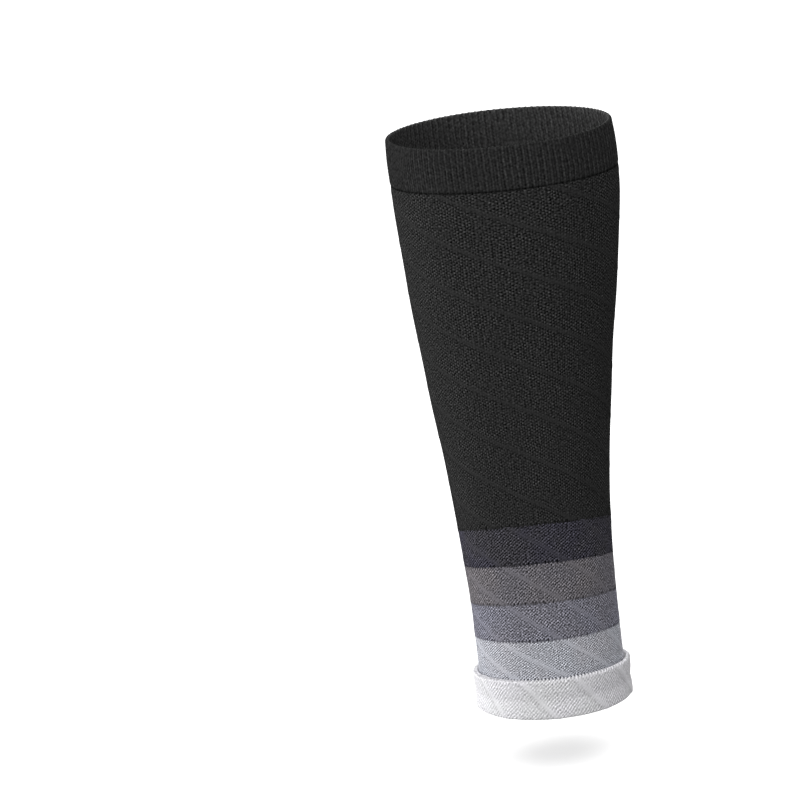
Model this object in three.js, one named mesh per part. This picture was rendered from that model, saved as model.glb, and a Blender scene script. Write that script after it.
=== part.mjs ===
import * as THREE from "three";
import { mergeVertices } from "three/addons/utils/BufferGeometryUtils.js";

// A calf compression sleeve: a knitted tube that stands open with the shape of the leg it is worn on.
// Millimetres, +Z up the leg, -Y the front, the shin towards -X and the calf muscle towards +X.
// The origin is on the leg's axis, level with the sides of the ankle hem.

// Whole sleeve
const sleeveLength = 330;
const calfWidth = 125;
const calfDepth = 98;
const ankleWidth = 81.6;
const ankleDepth = 70.4;
const knitWall = 1.2;
const ringGap = 0.3; // between one knitted ring and the next

// Ribbed cuff at the top
const topCuffLength = 25.7;
const topCuffWall = 1.8;
const ribCount = 108;
const ribRelief = 0.35;

// Turned-up hem at the ankle
const hemLength = 20.4;
const hemProud = 3.5; // its outer face stands this far off the tube
const hemWaist = 0.8; // the face draws in by this halfway up
const hemFootHeight = 1.6; // of the fold that it rests on
const hemGrooveWidth = 0.5; // between its upper edge and the tube
const hemGrooveDepth = 0.5;
const hemRidgeCount = 9;
const hemRidgeStart = -25; // one ridge at the upper edge, in degrees from the front
const hemRidgeTurn = 25; // degrees that a ridge winds round on its way down the hem

// Colour bands above the hem, from the lowest up
const lightGreyLength = 21.9;
const blueGreyLength = 19.6;
const warmGreyLength = 21.4;
const charcoalLength = 21.1;
const bands = [
  { name: "band_light_grey", length: lightGreyLength, colour: "#9fa0a6" },
  { name: "band_blue_grey", length: blueGreyLength, colour: "#6e6d76" },
  { name: "band_warm_grey", length: warmGreyLength, colour: "#625f64" },
  { name: "band_charcoal", length: charcoalLength, colour: "#38363d" },
];

// Raised ridges that wind down to the right
const ridgeHeight = 0.5;
const ridgeWidth = 2.6;
const calfRidgeCount = 6;
const calfRidgeSpacing = 27.95; // up the front centre
const calfRidgeLevel = 201.8; // a ridge crosses the front centre here

// Degrees round from the front of each ridge at the top, the middle and the foot of the colour bands
const bandRidges = [
  { top: -216, middle: -131, foot: -29 },
  { top: -178, middle: -88, foot: 12 },
  { top: -135, middle: -35, foot: 51 },
  { top: -82, middle: 13, foot: 88 },
  { top: -22, middle: 58, foot: 122 },
  { top: 36, middle: 103, foot: 162 },
  { top: 83, middle: 144, foot: 216 },
  { top: 119, middle: 185, foot: 274 },
];

// Sections up the sleeve: height as a share of its length, fullness from the ankle's size (0) to the
// calf's (1), shift of the centre towards the muscle as a share of the calf's width, and the tilt in
// degrees of the course of stitches there, raised at the front where it is positive.
const sections = [
  { height: 0.0, fullness: 0.0, shift: 0.0, tilt: 0.0 },
  { height: 0.062, fullness: 0.0, shift: -0.0005, tilt: 4.3 },
  { height: 0.126, fullness: 0.0, shift: -0.0039, tilt: 5.8 },
  { height: 0.184, fullness: 0.005, shift: -0.0064, tilt: 9.8 },
  { height: 0.25, fullness: 0.041, shift: -0.0118, tilt: 12.3 },
  { height: 0.314, fullness: 0.094, shift: -0.0154, tilt: 14.7 },
  { height: 0.359, fullness: 0.139, shift: -0.0173, tilt: 13.7 },
  { height: 0.447, fullness: 0.26, shift: -0.0176, tilt: 11.6 },
  { height: 0.533, fullness: 0.421, shift: -0.018, tilt: 9.7 },
  { height: 0.621, fullness: 0.565, shift: -0.0157, tilt: 7.7 },
  { height: 0.707, fullness: 0.735, shift: -0.0095, tilt: 5.8 },
  { height: 0.794, fullness: 0.867, shift: -0.003, tilt: 4.1 },
  { height: 0.88, fullness: 0.982, shift: 0.0014, tilt: 2.6 },
  { height: 0.923, fullness: 1.0, shift: 0.0009, tilt: 1.9 },
  { height: 0.965, fullness: 1.0, shift: -0.003, tilt: 0.9 },
  { height: 1.0, fullness: 0.965, shift: -0.0067, tilt: 0.0 },
];

// How finely the faces follow the knit
const insideColumns = 36;
const insideRowHeight = 26;
const outsideRowHeight = 5.4;
const columnsBetweenRidges = { calf: 4, band: 2, hem: 4 };

const sectionCurve = new THREE.CubicInterpolant(
  sections.map((s) => s.height),
  sections.flatMap((s) => [s.fullness, s.shift, s.tilt]),
  3,
);

// The size of the skin's ellipse at a level.
function sectionAt(level) {
  const [fullness, shift, tilt] = sectionCurve.evaluate(level / sleeveLength);
  return {
    halfWidth: THREE.MathUtils.lerp(ankleWidth, calfWidth, fullness) / 2,
    halfDepth: THREE.MathUtils.lerp(ankleDepth, calfDepth, fullness) / 2,
    centre: shift * calfWidth,
    slope: Math.tan(THREE.MathUtils.degToRad(tilt)),
  };
}

// A stitch `turn` degrees round from the front on a level, `out` millimetres off the outer skin.
function stitch(turn, level, out) {
  const { halfWidth, halfDepth, centre, slope } = sectionAt(level);
  const angle = THREE.MathUtils.degToRad(turn);
  const x = centre + (halfWidth + out) * Math.sin(angle);
  const y = -(halfDepth + out) * Math.cos(angle);
  return { turn, point: new THREE.Vector3(x, y, level - y * slope) };
}

function degreesIn(millimetres, level) {
  const { halfWidth, halfDepth } = sectionAt(level);
  return (millimetres * 360) / (Math.PI * (halfWidth + halfDepth));
}

// A loop is a closed row of stitches, in order round the sleeve.
function plainLoop(columns, level, out) {
  return Array.from({ length: columns }, (_, i) => stitch((i * 360) / columns, level, out));
}

// A row with a foot, a crest and a foot at each ridge, and plain columns between the ridges.
function ridgedLoop(ridges, between, level, out, relief) {
  const half = degreesIn(ridgeWidth, level) / 2;
  return ridges.flatMap((ridge, i) => {
    const next = ridges[i + 1] ?? ridges[0] + 360;
    const step = (next - ridge - 2 * half) / (between + 1);
    const plain = Array.from({ length: between }, (_, k) => ridge + half + (k + 1) * step);
    return [
      stitch(ridge - half, level, out),
      stitch(ridge, level, out + relief),
      stitch(ridge + half, level, out),
      ...plain.map((turn) => stitch(turn, level, out)),
    ];
  });
}

// Faces between two loops with the same columns. Seen from outside, the second is above the first.
function strip(lower, upper) {
  return lower.flatMap((a, i) => {
    const b = lower[(i + 1) % lower.length];
    const c = upper[(i + 1) % upper.length];
    return [a.point, b.point, c.point, a.point, c.point, upper[i].point];
  });
}

// Faces between two loops whose columns differ, taking the nearer next column each time.
function seam(first, second) {
  const gone = (from, to) => THREE.MathUtils.euclideanModulo(to.turn - from.turn, 360);
  const start = first[0];
  const turned = [...second].sort((p, q) => gone(start, p) - gone(start, q));
  const travel = (loop, i) => (i < loop.length ? gone(start, loop[i]) : 360 + gone(start, loop[0]));
  const at = (loop, i) => loop[i % loop.length].point;
  const points = [];
  let i = 0;
  let j = 0;
  while (i < first.length || j < turned.length) {
    const firstIsNearer = travel(first, i + 1) <= travel(turned, j + 1);
    if (j === turned.length || (i < first.length && firstIsNearer)) {
      points.push(at(first, i), at(first, i + 1), at(turned, j));
      i += 1;
    } else {
      points.push(at(first, i), at(turned, j + 1), at(turned, j));
      j += 1;
    }
  }
  return points;
}

function chain(loops) {
  return loops.slice(1).flatMap((loop, i) => strip(loops[i], loop));
}

function levels(from, to, rowHeight) {
  const rows = Math.max(1, Math.round(Math.abs(to - from) / rowHeight));
  return Array.from({ length: rows + 1 }, (_, i) => THREE.MathUtils.lerp(from, to, i / rows));
}

// A knitted ring between two levels, ridged outside and plain inside.
function knittedRing(bottom, top, ridgesAt, between) {
  const outer = levels(bottom, top, outsideRowHeight).map((level) =>
    ridgedLoop(ridgesAt(level), between, level, 0, ridgeHeight),
  );
  const inner = levels(top, bottom, insideRowHeight).map((level) =>
    plainLoop(insideColumns, level, -knitWall),
  );
  return [
    ...chain(outer),
    ...seam(outer.at(-1), inner[0]),
    ...chain(inner),
    ...seam(inner.at(-1), outer[0]),
  ];
}

// Evenly spaced ridges, one of them at the given turn.
function evenRidges(count, turn) {
  return Array.from({ length: count }, (_, i) => turn + (i * 360) / count);
}

function calfRidgesAt(level) {
  const spacings = (calfRidgeLevel - level) / calfRidgeSpacing;
  return evenRidges(calfRidgeCount, (spacings * 360) / calfRidgeCount);
}

// The smooth curve of each band ridge through its turns at the top, the middle and the foot.
function bandRidgesAt(level, foot, top) {
  const t = (level - foot) / (top - foot);
  return bandRidges.map(
    (ridge) =>
      ridge.foot * (1 - t) * (1 - 2 * t) + ridge.middle * 4 * t * (1 - t) + ridge.top * t * (2 * t - 1),
  );
}

// The ribbed cuff: alternate wales stand out on each face, and the rim is rounded over.
function topCuff(bottom, rim) {
  const radius = topCuffWall / 2;
  const arc = [0, 45, 90, 135, 180].map((degrees) => {
    const angle = THREE.MathUtils.degToRad(degrees);
    const across = Math.cos(angle);
    return { across, level: rim - radius + radius * Math.sin(angle) };
  });
  const profile = [{ across: 1, level: bottom }, ...arc, { across: -1, level: bottom }];
  const loops = profile.map(({ across, level }) =>
    Array.from({ length: 2 * ribCount }, (_, i) => {
      const relief = i % 2 ? Math.min(across, 0) : Math.max(across, 0);
      return stitch((i * 180) / ribCount, level, (across - 1) * radius + relief * ribRelief);
    }),
  );
  return chain([...loops, loops[0]]);
}

// The turned-up hem: rolled under at the foot, with a lip and a groove where it meets the tube.
function ankleHem(crest) {
  const roll = (hemProud + knitWall) / 2;
  const arc = (out, level, radius, rise, degrees, relief) =>
    degrees.map((d) => ({
      out: out + radius * Math.cos(THREE.MathUtils.degToRad(d)),
      level: level + rise * Math.sin(THREE.MathUtils.degToRad(d)),
      relief,
    }));
  const foot = (degrees, relief) =>
    arc(hemProud - roll, hemFootHeight, roll, hemFootHeight, degrees, relief);
  const face = [
    { height: 0.25, waist: 0.2 },
    { height: 0.48, waist: 1 },
    { height: 0.72, waist: 0.2 },
  ].map(({ height, waist }) => ({
    out: hemProud - hemWaist * waist,
    level: crest * height,
    relief: 1,
  }));
  const lip = (hemProud - hemGrooveWidth) / 2;
  const grooveLevel = crest - hemGrooveDepth;
  const seamLevel = crest - ringGap / 2;
  const profile = [
    ...foot([225, 270, 315], 0),
    ...foot([360], 1),
    ...face,
    ...arc(hemProud - lip, crest - lip, lip, lip, [30, 90, 130], 0.4),
    { out: hemGrooveWidth, level: grooveLevel, relief: 0 },
    { out: 0, level: grooveLevel, relief: 0 },
    { out: 0, level: seamLevel, relief: 0 },
    { out: -knitWall, level: seamLevel, relief: 0 },
    { out: -knitWall, level: hemFootHeight, relief: 0 },
  ];
  const loops = profile.map(({ out, level, relief }) => {
    const wound = (hemRidgeTurn * (crest - level)) / crest;
    const ridges = evenRidges(hemRidgeCount, hemRidgeStart + wound);
    return ridgedLoop(ridges, columnsBetweenRidges.hem, level, out, relief * ridgeHeight);
  });
  return chain([...loops, loops[0]]);
}

function piece(name, points, colour, roughness) {
  const geometry = mergeVertices(new THREE.BufferGeometry().setFromPoints(points));
  geometry.computeVertexNormals();
  const material = new THREE.MeshStandardMaterial({ color: colour, roughness, metalness: 0 });
  const mesh = new THREE.Mesh(geometry, material);
  mesh.name = name;
  return mesh;
}

const sleeve = new THREE.Group();
sleeve.add(piece("ankle_cuff", ankleHem(hemLength), "#cfcfd1", 0.85));

const bandsFoot = hemLength;
const bandsTop = bands.reduce((level, band) => level + band.length, bandsFoot);
let level = bandsFoot;
for (const band of bands) {
  const ring = knittedRing(
    level + ringGap / 2,
    level + band.length - ringGap / 2,
    (at) => bandRidgesAt(at, bandsFoot, bandsTop),
    columnsBetweenRidges.band,
  );
  sleeve.add(piece(band.name, ring, band.colour, 0.9));
  level += band.length;
}

const cuffLevel = sleeveLength - topCuffLength;
const calfTube = knittedRing(
  bandsTop + ringGap / 2,
  cuffLevel - ringGap / 2,
  calfRidgesAt,
  columnsBetweenRidges.calf,
);
sleeve.add(piece("calf_tube", calfTube, "#282828", 0.9));
sleeve.add(piece("top_cuff", topCuff(cuffLevel + ringGap / 2, sleeveLength), "#272727", 0.9));

export default sleeve;
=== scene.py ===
import math

import bpy
import numpy as np
from mathutils import Matrix, Vector


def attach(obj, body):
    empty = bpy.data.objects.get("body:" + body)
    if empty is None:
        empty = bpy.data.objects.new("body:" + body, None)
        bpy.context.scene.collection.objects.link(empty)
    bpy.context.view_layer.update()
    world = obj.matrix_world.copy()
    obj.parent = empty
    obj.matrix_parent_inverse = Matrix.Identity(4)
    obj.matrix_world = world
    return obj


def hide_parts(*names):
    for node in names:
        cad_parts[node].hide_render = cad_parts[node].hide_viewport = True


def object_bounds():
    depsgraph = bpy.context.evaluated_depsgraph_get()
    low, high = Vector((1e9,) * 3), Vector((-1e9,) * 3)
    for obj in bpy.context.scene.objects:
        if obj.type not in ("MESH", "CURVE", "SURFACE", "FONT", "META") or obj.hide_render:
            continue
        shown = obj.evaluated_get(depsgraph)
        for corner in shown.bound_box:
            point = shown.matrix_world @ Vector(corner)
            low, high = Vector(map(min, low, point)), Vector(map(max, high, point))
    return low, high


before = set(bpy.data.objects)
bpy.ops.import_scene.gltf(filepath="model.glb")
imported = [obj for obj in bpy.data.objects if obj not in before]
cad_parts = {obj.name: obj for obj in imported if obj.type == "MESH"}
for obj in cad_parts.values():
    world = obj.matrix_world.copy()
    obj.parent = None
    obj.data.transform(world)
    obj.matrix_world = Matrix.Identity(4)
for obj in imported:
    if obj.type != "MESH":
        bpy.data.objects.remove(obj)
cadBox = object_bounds()
scene = bpy.context.scene
scene.view_settings.view_transform = "Standard"

# A calf compression sleeve: knitted rings on one tapered tube. Lengths are in millimetres until a mesh
# or the camera is made. Turns are degrees round from the front, positive towards the muscle at +X.
metre = 0.001
sleeveLength = (cadBox[1].z - cadBox[0].z) / metre
calfWidth = 125
calfDepth = 98
ankleWidth = 81.6
ankleDepth = 70.4
knitWall = 1.2

insideRow = 20  # height of a row of faces on a ring's inside
interlock = 1.1  # how far a ring's lowest stitches hang over the ring below
overlap = 0.12  # and how far they stand off it

# Levels up the leg's axis where one ring ends and the next begins
hemCrest = 20.4
lightGreyTop = hemCrest + 21.9
blueGreyTop = lightGreyTop + 19.6
warmGreyTop = blueGreyTop + 21.4
charcoalTop = warmGreyTop + 21.1
cuffSeam = sleeveLength - 25.7

# Sections up the sleeve: height as a share of its length, fullness from the ankle's size (0) to the
# calf's (1), shift of the centre as a share of the calf's width, and tilt of the course in degrees.
sections = np.array(
    [
        (0.0, 0.0, 0.0, 0.0),
        (0.062, 0.0, -0.0005, 4.3),
        (0.126, 0.0, -0.0039, 5.8),
        (0.184, 0.005, -0.0064, 9.8),
        (0.25, 0.041, -0.0118, 12.3),
        (0.314, 0.094, -0.0154, 14.7),
        (0.359, 0.139, -0.0173, 13.7),
        (0.447, 0.26, -0.0176, 11.6),
        (0.533, 0.421, -0.018, 9.7),
        (0.621, 0.565, -0.0157, 7.7),
        (0.707, 0.735, -0.0095, 5.8),
        (0.794, 0.867, -0.003, 4.1),
        (0.88, 0.982, 0.0014, 2.6),
        (0.923, 1.0, 0.0009, 1.9),
        (0.965, 1.0, -0.003, 0.9),
        (1.0, 0.965, -0.0067, 0.0),
    ]
)


# The smooth curve through one column of the sections. Its slope at a section is the mean of the slopes
# of the straight lines on either side.
def sectionCurve(column, level):
    heights, values = sections[:, 0], sections[:, column]
    at = np.asarray(level, float) / sleeveLength
    lines = np.diff(values) / np.diff(heights)
    slopes = (np.append(lines[0], lines) + np.append(lines, lines[-1])) / 2
    i = np.clip(np.searchsorted(heights, at, side="right") - 1, 0, len(heights) - 2)
    step = heights[i + 1] - heights[i]
    t = (at - heights[i]) / step
    return (
        values[i] * (2 * t**3 - 3 * t**2 + 1)
        + slopes[i] * step * (t**3 - 2 * t**2 + t)
        + values[i + 1] * (3 * t**2 - 2 * t**3)
        + slopes[i + 1] * step * (t**3 - t**2)
    )


def halfSizes(level):
    fullness = sectionCurve(1, level)
    halfWidth = (ankleWidth + (calfWidth - ankleWidth) * fullness) / 2
    halfDepth = (ankleDepth + (calfDepth - ankleDepth) * fullness) / 2
    return halfWidth, halfDepth


def girthAt(level):
    halfWidth, halfDepth = halfSizes(level)
    return math.pi * (halfWidth + halfDepth)


# Raised ridges that wind down to the right: the degrees of each one on a level
calfRidgeSpacing = 27.95
calfRidgeLevel = 201.8
calfRidgeCount = 6
hemRidgeCount = 9
hemRidgeStart = -25
hemRidgeTurn = 25
bandRidges = {
    "top": (-216, -178, -135, -82, -22, 36, 83, 119),
    "middle": (-131, -88, -35, 13, 58, 103, 144, 185),
    "foot": (-29, 12, 51, 88, 122, 162, 216, 274),
}


def evenRidges(count, turn):
    return np.asarray(turn)[..., None] + np.arange(count) * 360 / count


def calfRidges(level):
    return evenRidges(calfRidgeCount, (calfRidgeLevel - level) / calfRidgeSpacing * 360 / calfRidgeCount)


def hemRidges(level):
    return evenRidges(hemRidgeCount, hemRidgeStart + hemRidgeTurn * (hemCrest - level) / hemCrest)


def bandRidgesAt(level):
    t = ((level - hemCrest) / (charcoalTop - hemCrest))[..., None]
    top, middle, foot = (np.array(bandRidges[k]) for k in ("top", "middle", "foot"))
    return foot * (1 - t) * (1 - 2 * t) + middle * 4 * t * (1 - t) + top * t * (2 * t - 1)


# The seam under the top cuff draws the knit in. Along it a painted shadow darkens the knit, and the same
# mark deepens the relief.
seam = {"dip": 0.2, "dipReach": 0.8, "shadow": 4, "shadowReach": 0.6}


def seamDip(level):
    return -seam["dip"] * math.exp(-(((level - cuffSeam) / seam["dipReach"]) ** 2))


def seamShadow(level):
    return seam["shadow"] * np.exp(-(((level - cuffSeam) / seam["shadowReach"]) ** 2))


# Signed distance to the nearest ridge across its line, positive above it. One row per level.
def ridgeDistance(ridgesAt, levels, turns):
    probe = 0.5
    lines = ridgesAt(levels)
    lean = (ridgesAt(levels + probe) - ridgesAt(levels - probe)) / (2 * probe)
    perDegree = girthAt(levels)[:, None, None] / 360
    apart = (turns[None, :, None] - lines[:, None, :] + 180) % 360 - 180
    across = apart * perDegree / np.sqrt(1 + (lean[:, None, :] * perDegree) ** 2)
    nearest = np.argmin(np.abs(across), axis=2)
    return np.take_along_axis(across, nearest[..., None], axis=2)[..., 0]


# How much of a ridge, and of the furrow under it, each point takes: both fade as a bell curve does. The
# furrow's place and reach are shares of the ridge's width.
furrowBelow = 0.75
furrowReach = 0.4


def ridgeAndFurrow(ridgesAt, levels, turns, width):
    across = ridgeDistance(ridgesAt, levels, turns)
    ridge = np.exp(-((across / (width / 2)) ** 2))
    furrow = np.exp(-(((across + width * furrowBelow) / (width * furrowReach)) ** 2))
    return ridge, furrow


# Keeps the shares of relief, and the way that each point faces, on the points of a mesh.
def storeFields(mesh, fields, outward):
    for field, values in fields.items():
        attribute = mesh.attributes.new(field, "FLOAT", "POINT")
        attribute.data.foreach_set("value", values.reshape(-1).astype(np.float32))
    attribute = mesh.attributes.new("outward", "FLOAT_VECTOR", "POINT")
    attribute.data.foreach_set("vector", outward.reshape(-1).astype(np.float32))


# A closed shell from a profile that goes round the wall: up the outside and down the inside. Each point
# has its place off the outer skin (out), its level, the way it faces (degrees up from outwards), and
# how much of each kind of relief it takes. The stitches of the hanging edge reach down as small teeth.
# A ring with no ridges has None for ridgesAt.
def knitShell(name, profile, gauge, ridgesAt):
    out, level, facing, skin, lip, ridgeShare, hanging = np.array(profile, float).T
    wales, step = gauge["wales"], gauge["course"]
    columns = wales * gauge["columnsPerWale"]
    i = np.arange(columns)
    wale = i * wales / columns
    turns = 180 + i * 360 / columns
    angle = np.radians(turns)
    halfWidth, halfDepth = halfSizes(level)
    centre = sectionCurve(2, level) * calfWidth
    slope = np.tan(np.radians(sectionCurve(3, level)))
    teeth = hanging[:, None] * (1 + np.cos(math.pi * wale)) / 2
    off = out[:, None] + teeth * overlap
    x = centre[:, None] + (halfWidth[:, None] + off) * np.sin(angle)
    y = -(halfDepth[:, None] + off) * np.cos(angle)
    z = level[:, None] - teeth * interlock - y * slope[:, None]

    sideways = np.stack(
        [np.sin(angle) * halfDepth[:, None], -np.cos(angle) * halfWidth[:, None], 0 * x], axis=-1
    )
    sideways /= np.linalg.norm(sideways, axis=-1, keepdims=True)
    outward = sideways * np.cos(np.radians(facing))[:, None, None]
    outward[..., 2] = np.sin(np.radians(facing))[:, None]

    travelled = np.append(0, np.cumsum(np.hypot(np.diff(out), np.diff(level))))
    closing = math.hypot(out[0] - out[-1], level[0] - level[-1])
    course = travelled / step
    ridge = furrow = np.zeros_like(x)
    if ridgesAt:
        ridge, furrow = ridgeAndFurrow(ridgesAt, level, turns, gauge["ridgeWidth"])

    rows = len(profile)
    row, column = np.meshgrid(np.arange(rows), i, indexing="ij")
    nextRow, nextColumn = (row + 1) % rows, (column + 1) % columns
    faces = np.stack(
        [
            row * columns + column,
            row * columns + nextColumn,
            nextRow * columns + nextColumn,
            nextRow * columns + column,
        ],
        axis=-1,
    ).reshape(-1, 4)
    mesh = bpy.data.meshes.new(name)
    mesh.from_pydata(
        (np.stack([x, y, z], axis=-1).reshape(-1, 3) * metre).tolist(), [], faces.tolist()
    )
    mesh.polygons.foreach_set("use_smooth", np.ones(len(faces), bool))

    u = np.stack([column, column + 1, column + 1, column], axis=-1) * wales / columns
    upper = np.append(course[1:], course[-1] + closing / step)
    v = np.stack([course[row], course[row], upper[row], upper[row]], axis=-1)
    layer = mesh.uv_layers.new(name="stitches")
    layer.data.foreach_set("uv", np.stack([u, v], axis=-1).reshape(-1).astype(np.float32))

    flat = np.ones_like(x)
    fields = {
        "wale": flat * wale,
        "course": flat * course[:, None],
        "skin": flat * skin[:, None],
        "lip": flat * lip[:, None],
        # marks the inside faces, which the material paints paler as painted light
        "insideFace": flat * (facing > 90)[:, None],
        "ridge": ridge * ridgeShare[:, None],
        # the furrow and the seam's shadow also carry painted shade into the colour
        "furrow": np.maximum(furrow * ridgeShare[:, None], seamShadow(level)[:, None]),
    }
    storeFields(mesh, fields, outward)
    shell = bpy.data.objects.new(name, mesh)
    scene.collection.objects.link(shell)
    return shell


# Adds one node. An input is a value, a socket, or a node, which stands for its first output.
def addNode(tree, kind, inputs=None, **settings):
    node = tree.nodes.new(kind)
    for name, value in settings.items():
        setattr(node, name, value)
    for place, value in (inputs or {}).items():
        if isinstance(value, bpy.types.Node):
            value = value.outputs[0]
        if isinstance(value, bpy.types.NodeSocket):
            tree.links.new(value, node.inputs[place])
        else:
            node.inputs[place].default_value = value
    return node


reliefInputs = (
    "stitchHeight",
    "waleHeight",
    "ribHeight",
    "ridgeHeight",
    "furrowDepth",
    "puckerHeight",
    "puckerScale",
    "toothHeight",
    "seed",
)


# Raises the stitches, ribs, ridges, edge loops and puckers of a shell off its skin, in millimetres.
def knitReliefTree():
    tree = bpy.data.node_groups.new("knitRelief", "GeometryNodeTree")
    tree.interface.new_socket("Geometry", in_out="INPUT", socket_type="NodeSocketGeometry")
    for name in reliefInputs:
        tree.interface.new_socket(name, in_out="INPUT", socket_type="NodeSocketFloat")
    tree.interface.new_socket("finish", in_out="INPUT", socket_type="NodeSocketMaterial")
    tree.interface.new_socket("Geometry", in_out="OUTPUT", socket_type="NodeSocketGeometry")
    given = addNode(tree, "NodeGroupInput")
    size = {name: given.outputs[name] for name in reliefInputs}
    field = {
        name: addNode(tree, "GeometryNodeInputNamedAttribute", {"Name": name}, data_type="FLOAT")
        for name in ("wale", "course", "skin", "lip", "ridge", "furrow")
    }
    outward = addNode(
        tree, "GeometryNodeInputNamedAttribute", {"Name": "outward"}, data_type="FLOAT_VECTOR"
    )

    def waves(name, perUnit):
        turned = addNode(
            tree, "ShaderNodeMath", {0: field[name], 1: perUnit * math.pi}, operation="MULTIPLY"
        )
        return addNode(tree, "ShaderNodeMath", {0: turned}, operation="COSINE")

    everyOther, everyWale, everyCourse = waves("wale", 1), waves("wale", 2), waves("course", 1)
    stitch = addNode(tree, "ShaderNodeMath", {0: everyOther, 1: everyCourse}, operation="MULTIPLY")
    tooth = addNode(tree, "ShaderNodeMath", {0: everyOther, 1: 1.0}, operation="ADD")
    noise = addNode(
        tree,
        "ShaderNodeTexNoise",
        {"W": size["seed"], "Scale": size["puckerScale"], "Detail": 1.0},
        noise_dimensions="4D",
    )
    pucker = addNode(tree, "ShaderNodeMath", {0: noise, 1: 0.5}, operation="SUBTRACT")
    relief = addNode(
        tree, "ShaderNodeMath", {0: pucker, 1: size["puckerHeight"]}, operation="MULTIPLY"
    )
    terms = (
        (stitch, field["skin"], size["stitchHeight"]),
        (everyWale, field["skin"], size["waleHeight"]),
        (everyOther, field["skin"], size["ribHeight"]),
        (tooth, field["lip"], size["toothHeight"]),
        (field["ridge"], 1.0, size["ridgeHeight"]),
        (field["furrow"], -1.0, size["furrowDepth"]),
    )
    for shape, share, height in terms:
        scaled = addNode(tree, "ShaderNodeMath", {0: shape, 1: share}, operation="MULTIPLY")
        relief = addNode(
            tree, "ShaderNodeMath", {0: scaled, 1: height, 2: relief}, operation="MULTIPLY_ADD"
        )
    inMetres = addNode(tree, "ShaderNodeMath", {0: relief, 1: metre}, operation="MULTIPLY")
    offset = addNode(
        tree, "ShaderNodeVectorMath", {0: outward, "Scale": inMetres}, operation="SCALE"
    )
    moved = addNode(
        tree, "GeometryNodeSetPosition", {"Geometry": given.outputs["Geometry"], "Offset": offset}
    )
    real = addNode(tree, "GeometryNodeRealizeInstances", {"Geometry": moved})
    coated = addNode(
        tree, "GeometryNodeSetMaterial", {"Geometry": real, "Material": given.outputs["finish"]}
    )
    addNode(tree, "NodeGroupOutput", {"Geometry": coated})
    return tree


knitRelief = knitReliefTree()


# Puts the relief on a shell and keeps the result as its plain mesh.
def raiseRelief(shell, heights, material):
    modifier = shell.modifiers.new("relief", "NODES")
    modifier.node_group = knitRelief
    values = {**heights, "finish": material}
    for item in knitRelief.interface.items_tree:
        if item.in_out == "INPUT" and item.name in values:
            modifier[item.identifier] = values[item.name]
    graph = bpy.context.evaluated_depsgraph_get()
    raised = bpy.data.meshes.new_from_object(shell.evaluated_get(graph))
    shell.modifiers.clear()
    shell.data = raised
    for name in ("wale", "course", "skin", "lip", "outward"):
        raised.attributes.remove(raised.attributes[name])


def colour(code):
    channels = [int(code[k : k + 2], 16) / 255 for k in (1, 3, 5)]
    return [c / 12.92 if c <= 0.04045 else ((c + 0.055) / 1.055) ** 2.4 for c in channels]
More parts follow.
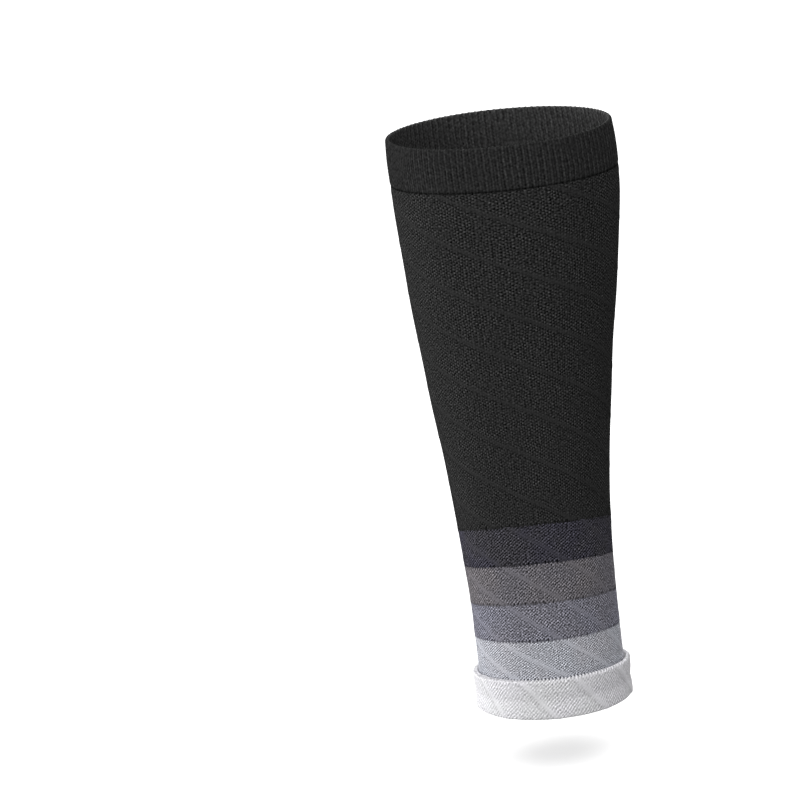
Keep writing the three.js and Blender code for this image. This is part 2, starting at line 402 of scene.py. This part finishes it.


# Knitted yarn: light stitches and dark holes on a quincunx, uneven as yarn is, and smoother along the
# ridges.
# A painted highlight makes each ridge paler, painted shade darkens the furrow under it and the seam under
# the cuff, and painted light makes the inside faces paler.
def knitMaterial(name, look):
    material = bpy.data.materials.new(name)
    material.use_nodes = True
    tree = material.node_tree
    tree.nodes.clear()

    def maths(operation, *values):
        return addNode(tree, "ShaderNodeMath", dict(enumerate(values)), operation=operation)

    place = addNode(tree, "ShaderNodeTexCoord").outputs["Object"]
    stitches = addNode(tree, "ShaderNodeUVMap", uv_map="stitches")

    def noise(perMetre, detail=1.0):
        return addNode(
            tree, "ShaderNodeTexNoise", {"Vector": place, "Scale": perMetre, "Detail": detail}
        )

    def spread(value, given, wanted):
        ends = {"From Min": given[0], "From Max": given[1], "To Min": wanted[0], "To Max": wanted[1]}
        return addNode(tree, "ShaderNodeMapRange", {"Value": value, **ends})

    wander = addNode(
        tree,
        "ShaderNodeVectorMath",
        {0: noise(look["wanderScale"]).outputs["Color"], 1: (0.5, 0.5, 0.5)},
        operation="SUBTRACT",
    )
    warped = addNode(
        tree,
        "ShaderNodeVectorMath",
        {0: wander, 1: (look["wander"],) * 3, 2: stitches},
        operation="MULTIPLY_ADD",
    )
    split = addNode(tree, "ShaderNodeSeparateXYZ", {0: warped})
    u, v = split.outputs["X"], split.outputs["Y"]
    rising = maths("COSINE", maths("MULTIPLY", maths("SUBTRACT", u, v), math.pi))
    falling = maths("COSINE", maths("MULTIPLY", maths("ADD", u, v), math.pi))
    upright = maths("COSINE", maths("MULTIPLY_ADD", u, 2 * math.pi, look["uprightTurn"]))
    dots = maths("MULTIPLY", upright, look["upright"])
    dots = maths("MULTIPLY_ADD", rising, look["rising"], dots)
    dots = maths("MULTIPLY_ADD", falling, look["falling"], dots)
    ridge = addNode(tree, "ShaderNodeAttribute", attribute_name="ridge").outputs["Fac"]
    furrow = addNode(tree, "ShaderNodeAttribute", attribute_name="furrow").outputs["Fac"]
    offRidge = maths("MULTIPLY_ADD", ridge, -look["ridgeSmooth"], 1.0)
    patch = spread(noise(look["patchScale"]), look["patchNoise"], look["patch"])
    lively = spread(noise(look["livelyScale"]), look["livelyNoise"], look["lively"])
    if look["everyOther"]:
        rib = maths("COSINE", maths("MULTIPLY", u, math.pi))
        dots = maths("MULTIPLY_ADD", rib, look["everyOther"], dots)
    fuzzPlace = addNode(
        tree, "ShaderNodeVectorMath", {0: stitches, 1: look["fuzzScale"]}, operation="MULTIPLY"
    )
    fuzz = addNode(
        tree,
        "ShaderNodeTexNoise",
        {"Vector": fuzzPlace, "Scale": 1.0, "Detail": 1.0},
        noise_dimensions="2D",
    )
    fuzz = maths("MULTIPLY", maths("SUBTRACT", fuzz, 0.5), look["fuzz"])
    weave = maths("MULTIPLY_ADD", dots, maths("MULTIPLY", patch, lively), fuzz)
    weave = maths("MULTIPLY", weave, offRidge)
    shade = maths("MAXIMUM", maths("ADD", weave, 1.0), look["darkest"])
    shade = maths("POWER", shade, look["contrast"])
    # Painted highlight along the raised ridges
    tone = maths("MULTIPLY_ADD", ridge, look["ridgePaintedHighlight"], 1.0)
    # Painted shade in the furrow under each ridge and along the seam under the cuff
    tone = maths("MULTIPLY_ADD", furrow, -look["furrowPaintedShade"], tone)
    # Painted light: inside faces are made paler to stand in for light that doesn't reach inside the tube.
    if look["insidePaintedLight"]:
        insideFace = addNode(tree, "ShaderNodeAttribute", attribute_name="insideFace").outputs["Fac"]
        tone = maths("MULTIPLY_ADD", insideFace, look["insidePaintedLight"], tone)
    away = spread(noise(look["tintScale"], 2.0), look["tintNoise"], (0, 1))
    tinted = addNode(
        tree,
        "ShaderNodeMix",
        {0: away, 6: (*colour(look["colour"]), 1), 7: (*colour(look["tint"]), 1)},
        data_type="RGBA",
    )
    base = addNode(
        tree,
        "ShaderNodeVectorMath",
        {0: tinted.outputs[2], "Scale": maths("MULTIPLY", shade, tone)},
        operation="SCALE",
    )
    bump = addNode(
        tree,
        "ShaderNodeBump",
        {"Strength": look["bump"], "Distance": look["bumpHeight"] * metre, "Height": weave},
    )
    shader = addNode(
        tree,
        "ShaderNodeBsdfPrincipled",
        {
            "Base Color": base,
            "Roughness": look["roughness"],
            "Specular IOR Level": look["gloss"],
            "Normal": bump,
        },
    )
    addNode(tree, "ShaderNodeOutputMaterial", {"Surface": shader})
    return material


# Camera at the photograph's angle, leaning a little to the right so that the sleeve leans left
camera = {
    "distance": 2500,
    "elevation": 15.75,
    "lean": 6.0,
    "level": 165,  # of the point of the leg's axis that the framing is measured from
    "aimLeft": 69.4,
    "aimUp": 16.8,
    "across": 443.4,  # millimetres that the picture covers at that distance
}


def addCamera():
    data = bpy.data.cameras.new("camera")
    data.sensor_width = 36
    data.lens = data.sensor_width * camera["distance"] / camera["across"]
    data.clip_start = 0.05
    data.clip_end = 100
    rig = bpy.data.objects.new("camera", data)
    scene.collection.objects.link(rig)
    scene.camera = rig
    rise = math.radians(camera["elevation"])
    lean = math.radians(camera["lean"])
    right = Vector((1, 0, 0))
    up = Vector((0, math.sin(rise), math.cos(rise)))
    back = Vector((0, -math.cos(rise), math.sin(rise)))
    aim = Vector((0, 0, camera["level"])) - right * camera["aimLeft"] + up * camera["aimUp"]
    leanRight = right * math.cos(lean) - up * math.sin(lean)
    leanUp = up * math.cos(lean) + right * math.sin(lean)
    place = (aim + back * camera["distance"]) * metre
    rotation = Matrix((leanRight, leanUp, back)).transposed().to_4x4()
    rig.matrix_world = Matrix.Translation(place) @ rotation


addCamera()

# Studio: pale surroundings, a key light low on the left and a little behind, a fill on the left in front,
# soft light from straight above, and a white floor a little way under the sleeve. A light's strength is
# what a white card would send back if it faced it.
studio = {"surroundings": 0.5, "floorLevel": -33, "floorSize": 40000, "floorPale": 0.8, "floorGlow": 0.38}
lamps = {
    "key": {"turn": -110, "rise": 4, "distance": 2600, "size": 750, "strength": 0.72},
    "fill": {"turn": -40, "rise": 14, "distance": 2600, "size": 2000, "strength": 0.52},
}
overhead = {"strength": 0.8, "spread": 90}


def addLamp(name, lamp):
    data = bpy.data.lights.new(name, "AREA")
    data.shape = "DISK"
    data.size = lamp["size"] * metre
    data.energy = lamp["strength"] * (math.pi * lamp["distance"] * metre) ** 2
    light = bpy.data.objects.new(name, data)
    scene.collection.objects.link(light)
    turn, rise = math.radians(lamp["turn"]), math.radians(lamp["rise"])
    towards = Vector(
        (math.sin(turn) * math.cos(rise), -math.cos(turn) * math.cos(rise), math.sin(rise))
    )
    light.location = (towards * lamp["distance"] + Vector((0, 0, sleeveLength / 2))) * metre
    light.rotation_mode = "QUATERNION"
    light.rotation_quaternion = towards.to_track_quat("Z", "Y")
    light.visible_camera = False


def addOverhead():
    data = bpy.data.lights.new("overhead", "SUN")
    data.energy = overhead["strength"] * math.pi
    data.angle = math.radians(overhead["spread"])
    light = bpy.data.objects.new("overhead", data)
    scene.collection.objects.link(light)
    light.location = (0, 0, 1)


def addFloor():
    half = studio["floorSize"] / 2 * metre
    corners = [
        (x * half, y * half, studio["floorLevel"] * metre)
        for x, y in ((-1, -1), (1, -1), (1, 1), (-1, 1))
    ]
    mesh = bpy.data.meshes.new("floor")
    mesh.from_pydata(corners, [], [(0, 1, 2, 3)])
    floor = bpy.data.objects.new("floor", mesh)
    scene.collection.objects.link(floor)
    material = bpy.data.materials.new("white floor")
    material.use_nodes = True
    shader = material.node_tree.nodes["Principled BSDF"]
    shader.inputs["Base Color"].default_value = (*[studio["floorPale"]] * 3, 1)
    shader.inputs["Roughness"].default_value = 1
    shader.inputs["Specular IOR Level"].default_value = 0
    shader.inputs["Emission Color"].default_value = (1, 1, 1, 1)
    shader.inputs["Emission Strength"].default_value = studio["floorGlow"]
    mesh.materials.append(material)
    floor.visible_diffuse = False


def addStudio():
    world = bpy.data.worlds.new("studio")
    world.use_nodes = True
    scene.world = world
    background = world.node_tree.nodes["Background"]
    background.inputs["Color"].default_value = (1, 1, 1, 1)
    background.inputs["Strength"].default_value = studio["surroundings"]
    for name, lamp in lamps.items():
        addLamp(name, lamp)
    addOverhead()
    addFloor()


addStudio()

# How the knit looks where a ring doesn't say otherwise. Scales are in waves to the metre, and the fuzz
# is scaled by wale and by course.
knit = {
    "wander": 1.5,
    "wanderScale": 190,
    "rising": 0.23,
    "falling": 0.21,
    "upright": 0.24,
    "uprightTurn": 1.3,
    "everyOther": 0,
    "fuzz": 1.6,
    "fuzzScale": (0.9, 0.9, 1.0),
    "ridgeSmooth": 0.85,
    # painted highlight along the ridges
    "ridgePaintedHighlight": 0.22,
    # painted shade in the furrows and along the cuff seam
    "furrowPaintedShade": 0.18,
    "patchScale": 85,
    "patchNoise": (0.35, 0.62),
    "patch": (0.6, 1.15),
    "livelyScale": 700,
    "livelyNoise": (0.3, 0.7),
    "lively": (0.3, 1.7),
    "tintScale": 45,
    "tintNoise": (0.4, 0.62),
    "darkest": 0.1,
    "contrast": 2.2,
    "insidePaintedLight": 0,
    "bump": 0.5,
    "bumpHeight": 0.5,
    "roughness": 0.95,
    "gloss": 0.0,
}
# The bands take a stronger painted highlight on the ridges and a weaker painted shade in the furrows.
bandLook = {"uprightTurn": 1.9, "ridgePaintedHighlight": 0.26, "furrowPaintedShade": 0.04}

# Heights of the relief in millimetres
relief = {
    "stitchHeight": 0.08,
    "waleHeight": 0.04,
    "ribHeight": 0.0,
    "ridgeHeight": 0.13,
    "furrowDepth": 0.06,
    "puckerHeight": 0.1,
    "puckerScale": 60.0,
    "toothHeight": 0.0,
    "seed": 3.0,
}
bandRelief = {**relief, "ridgeHeight": 0.14, "furrowDepth": 0.03}


# Profile of a plain ring: knitted rows up the outside, a few rows down the inside
def ringProfile(bottom, top, course):
    rows = round((top - bottom) / course)
    profile = []
    for k in range(rows + 1):
        level = bottom + (top - bottom) * k / rows
        profile.append((seamDip(level), level, 0, k not in (0, rows), 0, 1, k == 0))
    insideRows = max(1, round((top - bottom) / insideRow))
    for k in range(insideRows + 1):
        level = top + (bottom - top) * k / insideRows
        profile.append((-knitWall, level, 180, 0, 0, 0, 0))
    return profile


def finishPiece(shell, node):
    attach(shell, "root")
    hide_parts(node)
    print("made", shell.name, len(shell.data.polygons) * 2, "triangles")


# The calf tube and the colour bands below it
rings = [
    {
        "node": "calf_tube",
        "slot": "black_knit",
        "bottom": charcoalTop,
        "top": cuffSeam,
        "ridgesAt": calfRidges,
        "gauge": {"wales": 216, "columnsPerWale": 2, "course": 0.95, "ridgeWidth": 2.2},
        "heights": relief,
        "finish": "matte black jersey knit",
        "look": {
            "colour": "#282828",
            "tint": "#292929",
            "rising": 0.2,
            "falling": 0.18,
            "upright": 0.2,
            "fuzz": 1.25,
        },
    },
    {
        "node": "band_charcoal",
        "slot": "charcoal_knit",
        "bottom": warmGreyTop,
        "top": charcoalTop,
        "ridgesAt": bandRidgesAt,
        "gauge": {"wales": 228, "columnsPerWale": 2, "course": 0.83, "ridgeWidth": 2.4},
        "heights": bandRelief,
        "finish": "matte charcoal jersey knit",
        "look": {
            **bandLook,
            "colour": "#363539",
            "tint": "#35343c",
            "rising": 0.4,
            "falling": 0.2,
            "upright": 0.15,
        },
    },
    {
        "node": "band_warm_grey",
        "slot": "warm_grey_knit",
        "bottom": blueGreyTop,
        "top": warmGreyTop,
        "ridgesAt": bandRidgesAt,
        "gauge": {"wales": 246, "columnsPerWale": 2, "course": 0.865, "ridgeWidth": 2.4},
        "heights": bandRelief,
        "finish": "matte warm grey jersey knit",
        "look": {
            **bandLook,
            "colour": "#5f5d62",
            "tint": "#605d60",
            "rising": 0.32,
            "falling": 0.14,
            "upright": 0.14,
            "fuzz": 1.3,
        },
    },
    {
        "node": "band_blue_grey",
        "slot": "blue_grey_knit",
        "bottom": lightGreyTop,
        "top": blueGreyTop,
        "ridgesAt": bandRidgesAt,
        "gauge": {"wales": 246, "columnsPerWale": 2, "course": 0.79, "ridgeWidth": 2.4},
        "heights": bandRelief,
        "finish": "matte blue grey jersey knit",
        "look": {
            **bandLook,
            "colour": "#6c6b73",
            "tint": "#6b6b75",
            "rising": 0.32,
            "falling": 0.2,
            "upright": 0.11,
            "fuzz": 1.4,
        },
    },
    {
        "node": "band_light_grey",
        "slot": "light_grey_knit",
        "bottom": hemCrest,
        "top": lightGreyTop,
        "ridgesAt": bandRidgesAt,
        "gauge": {"wales": 254, "columnsPerWale": 2, "course": 0.72, "ridgeWidth": 2.4},
        "heights": bandRelief,
        "finish": "matte light grey jersey knit",
        "look": {
            **bandLook,
            "colour": "#9d9da3",
            "tint": "#9b9da4",
            "rising": 0.29,
            "falling": 0.15,
            "upright": 0.13,
            "fuzz": 1.0,
        },
    },
]
for ring in rings:
    bottom, top = ring["bottom"], ring["top"]
    profile = ringProfile(bottom, top, ring["gauge"]["course"])
    shell = knitShell("knit_" + ring["node"], profile, ring["gauge"], ring["ridgesAt"])
    raiseRelief(shell, ring["heights"], knitMaterial(ring["finish"], {**knit, **ring["look"]}))
    finishPiece(shell, ring["node"])


# Top cuff: one by one rib inside and outside, with a rounded rim
cuff = {
    "wall": 1.8,
    "rimSteps": 8,
    "rimSkin": 0.6,  # share of the stitches' relief on the rim
    "gauge": {"wales": 216, "columnsPerWale": 4, "course": 0.93},
    "heights": {**relief, "stitchHeight": 0.03, "waleHeight": 0.12, "ribHeight": 0.14},
    "finish": "matte black rib knit",
    "look": {
        "colour": "#272727",
        "tint": "#282828",
        "rising": 0.05,
        "falling": 0.05,
        "upright": 0.13,
        "everyOther": 0.1,
        "wander": 0.8,
        "fuzz": 0.75,
        "fuzzScale": (1.1, 0.5, 1.0),
        # painted light on the inside of the cuff
        "insidePaintedLight": 1.3,
    },
}


def topCuff():
    wall = cuff["wall"]
    radius = wall / 2
    straight = sleeveLength - radius - cuffSeam
    rows = round(straight / cuff["gauge"]["course"])
    profile = []
    for k in range(rows + 1):
        level = cuffSeam + straight * k / rows
        profile.append((seamDip(level), level, 0, k > 0, 0, 0, k == 0))
    for k in range(1, cuff["rimSteps"]):
        facing = 180 * k / cuff["rimSteps"]
        a = math.radians(facing)
        point = (radius * math.cos(a) - radius, sleeveLength - radius + radius * math.sin(a))
        profile.append((*point, facing, cuff["rimSkin"], 0, 0, 0))
    for k in range(rows + 1):
        level = cuffSeam + straight * (1 - k / rows)
        profile.append((-wall, level, 180, k < rows, 0, 0, 0))
    shell = knitShell("knit_top_cuff", profile, cuff["gauge"], None)
    raiseRelief(shell, cuff["heights"], knitMaterial(cuff["finish"], {**knit, **cuff["look"]}))
    finishPiece(shell, "top_cuff")


topCuff()

# Ankle hem: the knit is turned up round the foot, and its upper edge stands off the tube as small loops.
# The waist is drawn in by a share of its depth at three shares of the hem's height.
hem = {
    "proud": 3.5,
    "footHeight": 1.6,
    "footStep": 15,
    "waist": 0.8,
    "drawnIn": ((0.25, 0.2), (0.48, 1), (0.72, 0.2)),
    "lipFacings": (15, 35, 55, 75, 95, 115, 130),
    "lipRidge": 0.4,  # share of the ridges' relief on the lip
    "grooveWidth": 0.3,
    "grooveDepth": 0.3,
    "insideRows": 3,
    "flatLength": 30,
    "gauge": {"wales": 260, "columnsPerWale": 3, "course": 1.0, "ridgeWidth": 2.8},
    "heights": {**relief, "stitchHeight": 0.06, "toothHeight": 0.5, "ridgeHeight": 0.45},
    "finish": "matte white folded knit",
    "look": {
        "colour": "#c7c7c9",
        "tint": "#c8c7cb",
        "rising": 0.14,
        "falling": 0.04,
        "upright": 0.03,
        "uprightTurn": 2.2,
        "fuzz": 0.4,
        # painted highlight along the ridges
        "ridgePaintedHighlight": 0.09,
        # painted shade in the furrows
        "furrowPaintedShade": 0.1,
    },
}


def ankleHem():
    proud, footHeight, grooveWidth = hem["proud"], hem["footHeight"], hem["grooveWidth"]
    roll = (proud + knitWall) / 2
    lip = (proud - grooveWidth) / 2
    lipLevel = hemCrest - lip
    drawnIn = [(share * hemCrest, depth) for share, depth in hem["drawnIn"]]
    drawnIn = [(footHeight, 0), *drawnIn, (lipLevel, 0)]
    profile = []
    for facing in range(180, 360, hem["footStep"]):
        a = math.radians(facing)
        share = max(0.0, (facing - 270) / 90)
        point = (proud - roll + roll * math.cos(a), footHeight + footHeight * math.sin(a))
        profile.append((*point, facing, share / 2, 0, share, 0))
    rows = round((lipLevel - footHeight) / hem["gauge"]["course"])
    for k in range(rows + 1):
        level = footHeight + (lipLevel - footHeight) * k / rows
        depth = float(np.interp(level, *zip(*drawnIn)))
        profile.append((proud - hem["waist"] * depth, level, 0, 1, 0, 1, 0))
    for facing in hem["lipFacings"]:
        a = math.radians(facing)
        point = (proud - lip + lip * math.cos(a), lipLevel + lip * math.sin(a))
        profile.append((*point, facing, 0, math.sin(a), hem["lipRidge"], 0))
    for out in (grooveWidth, 0):
        profile.append((out, hemCrest - hem["grooveDepth"], 90, 0, 0, 0, 0))
    profile.append((0, hemCrest, 0, 0, 0, 0, 0))
    for level in np.linspace(hemCrest, footHeight, hem["insideRows"] + 1)[:-1]:
        profile.append((-knitWall, level, 180, 0, 0, 0, 0))
    shell = knitShell("knit_ankle_cuff", profile, hem["gauge"], hemRidges)
    raiseRelief(shell, hem["heights"], knitMaterial(hem["finish"], {**knit, **hem["look"]}))
    finishPiece(shell, "ankle_cuff")


ankleHem()
